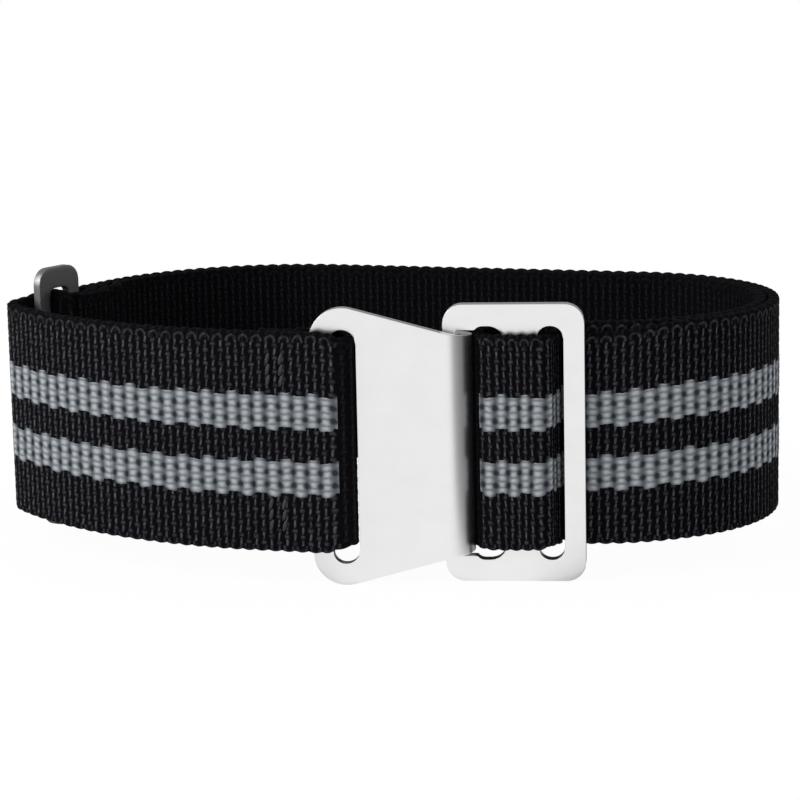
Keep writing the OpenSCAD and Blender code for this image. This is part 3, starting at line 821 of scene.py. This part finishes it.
# Sewn fold at the slide. The outer layer ends round the slide's second bar and is tacked to
# itself with the same thread.
slide_fold_line = follow(turned(SLIDE_AT, SLIDE_TURN, 7.65, -1.65), SLIDE_TURN + 180,
                         [(2.0, 0), *lap, (1.65, 0), (FOLD_R, -180), (7.8375, 0)])
slide_fold = woven_run("woven_fold_at_slide", slide_fold_line, pass_end - slide_fold_line[2][-1],
                       fine=("left", "right"))
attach(slide_fold, "adjuster")
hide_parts("webbing_adjuster_fold")
for word, low in TACK_STARTS:
    tack("slide_tack_" + word, "adjuster", "adjuster_seam_" + word, SLIDE_AT, SLIDE_TURN, 6.1,
         (0.02, -2.16), low)


# Floor, light and camera. A pale floor under soft light from above and both sides, against white,
# from the photograph's viewing angle.
SIDE_STOPS = (  # places from the front of the studio to its back, and how bright each is
    (0.03, 0.97), (0.05, 0.78), (0.085, 0.38), (0.16, 0.28), (0.4, 0.14), (0.8, 0.5), (0.99, 0.2))
SKY_STRENGTH = 0.75
LAMPS_AIM = (0, 0, 0.013)
LOOK_AT, DISTANCE, LENS = (0.86357, -2.0787, 13.61), 271.289, 126
TILT, YAW, ROLL = 10.816, -5.776, 1.209


def studio_group():
    """How bright the studio is for reflections in a direction, from the front to the back."""
    tree, entry, out = new_group("studio light", ("Depth",), ("Brightness",))
    nodes, links = tree.nodes, tree.links
    sides = nodes.new("ShaderNodeValToRGB")
    stops = sides.color_ramp.elements
    stops[0].position, stops[1].position = SIDE_STOPS[0][0], SIDE_STOPS[-1][0]
    for at, _ in SIDE_STOPS[1:-1]:
        stops.new(at)
    for stop, (_, bright) in zip(stops, SIDE_STOPS):
        stop.color = (bright, bright, bright, 1)
    links.new(ranged(nodes, links, entry.outputs["Depth"], reach=(-1, 1)), sides.inputs["Fac"])
    links.new(sides.outputs["Color"], out.inputs["Brightness"])
    return tree


studio = studio_group()


def studio_light(nodes, links, direction):
    """The studio's brightness in a direction."""
    parts = nodes.new("ShaderNodeSeparateXYZ")
    links.new(direction, parts.inputs[0])
    light = nodes.new("ShaderNodeGroup")
    light.node_tree = studio
    links.new(parts.outputs["Y"], light.inputs["Depth"])
    return light.outputs["Brightness"]


def either(nodes, links, factor, a, b):
    """The number a where the factor is 0, and b where it is 1."""
    node = nodes.new("ShaderNodeMix")
    for label, value in (("Factor", factor), ("A", a), ("B", b)):
        feed(links, value, node.inputs[label])
    return node.outputs["Result"]


def floor_material():
    """Pale matt floor, seen nearly white with a soft shadow; to glossy rays it glows as a painted
    reflection of the studio, with painted shade near the strap.
    """
    material, nodes, links = new_material("pale floor")
    nodes.remove(nodes["Principled BSDF"])
    matt = nodes.new("ShaderNodeBsdfDiffuse")
    matt.inputs["Color"].default_value = (0.86, 0.86, 0.86, 1)
    white = nodes.new("ShaderNodeEmission")
    path = nodes.new("ShaderNodeLightPath")
    place = nodes.new("ShaderNodeTexCoord")
    far = nodes.new("ShaderNodeVectorMath")
    far.operation = "LENGTH"
    links.new(place.outputs["Object"], far.inputs[0])
    far = far.outputs["Value"]

    # What the camera sees: mostly white, and wholly white away from the strap.
    share = ranged(nodes, links, far, reach=(0.05, 0.16), to=(0.96, 1.0))
    in_view = math_node(nodes, links, "MULTIPLY", path.outputs["Is Camera Ray"], share)

    # What metal mirrors: the floor glows with a painted reflection of the studio in the point's
    # direction from the clasp, and with painted shade inside the strap's ring.
    from_clasp = nodes.new("ShaderNodeVectorMath")
    from_clasp.operation = "SUBTRACT"
    from_clasp.inputs[1].default_value = (CLASP_X * MM, 0, 0)
    links.new(place.outputs["Object"], from_clasp.inputs[0])
    outward = nodes.new("ShaderNodeVectorMath")
    outward.operation = "NORMALIZE"
    links.new(from_clasp.outputs["Vector"], outward.inputs[0])
    # Painted shade: the glow is dimmed close to the strap's middle.
    near = ranged(nodes, links, far, reach=(0.012, 0.022), to=(0.15, 1.0))
    painted_reflection = math_node(nodes, links, "MULTIPLY",
                         studio_light(nodes, links, outward.outputs["Vector"]), near)

    glossy = path.outputs["Is Glossy Ray"]
    links.new(either(nodes, links, glossy, 1.0, painted_reflection), white.inputs["Strength"])
    mix = nodes.new("ShaderNodeMixShader")
    links.new(either(nodes, links, glossy, in_view, 1.0), mix.inputs[0])
    links.new(matt.outputs[0], mix.inputs[1])
    links.new(white.outputs[0], mix.inputs[2])
    links.new(mix.outputs[0], nodes["Material Output"].inputs["Surface"])
    return material


bm = bmesh.new()
bmesh.ops.create_grid(bm, x_segments=1, y_segments=1, size=1.5)
floor_mesh = bpy.data.meshes.new("floor")
bm.to_mesh(floor_mesh)
bm.free()
floor = in_scene("floor", floor_mesh, floor_material())

world = bpy.data.worlds.new("soft studio")
bpy.context.scene.world = world
world.use_nodes = True
nodes, links = world.node_tree.nodes, world.node_tree.links
sky = nodes["Background"]
sky.inputs["Color"].default_value = (1, 1, 1, 1)
path = nodes.new("ShaderNodeLightPath")
direction = nodes.new("ShaderNodeTexCoord").outputs["Generated"]
strength = SKY_STRENGTH
for ray, value in (("Is Glossy Ray", studio_light(nodes, links, direction)),
                   ("Is Camera Ray", 1.0), ("Is Transmission Ray", 1.0)):
    strength = either(nodes, links, path.outputs[ray], strength, value)
links.new(strength, sky.inputs["Strength"])


def soft_lamp(name, place, size, watts):
    """A square lamp that faces the strap."""
    lamp = bpy.data.lights.new(name, "AREA")
    lamp.energy, lamp.size = watts, size
    holder = bpy.data.objects.new(name, lamp)
    holder.location = place
    aim = Vector(LAMPS_AIM) - holder.location
    holder.rotation_euler = aim.to_track_quat("-Z", "Y").to_euler()
    bpy.context.collection.objects.link(holder)


soft_lamp("lamp above left", (-0.6, -0.3, 0.4), 0.5, 4.6)
soft_lamp("lamp above right", (0.5, -0.3, 0.45), 0.5, 0.8)

tilt, yaw, roll = math.radians(TILT), math.radians(YAW), math.radians(ROLL)
forward = np.array([math.sin(yaw) * math.cos(tilt), math.cos(yaw) * math.cos(tilt),
                    -math.sin(tilt)])
right = np.array([math.cos(yaw), -math.sin(yaw), 0.0])
down = np.cross(forward, right)
across = math.cos(roll) * right + math.sin(roll) * down
upward = math.sin(roll) * right - math.cos(roll) * down
eye = np.array(LOOK_AT) - DISTANCE * forward
camera = bpy.data.objects.new("camera", bpy.data.cameras.new("camera"))
camera.data.lens = LENS
camera.data.clip_end = 100
camera.data.clip_start = 0.01
camera.matrix_world = Matrix((
    (across[0], upward[0], -forward[0], eye[0] * MM),
    (across[1], upward[1], -forward[1], eye[1] * MM),
    (across[2], upward[2], -forward[2], eye[2] * MM),
    (0, 0, 0, 1)))
bpy.context.collection.objects.link(camera)
bpy.context.scene.camera = camera
bpy.context.scene.view_settings.view_transform = "Standard"
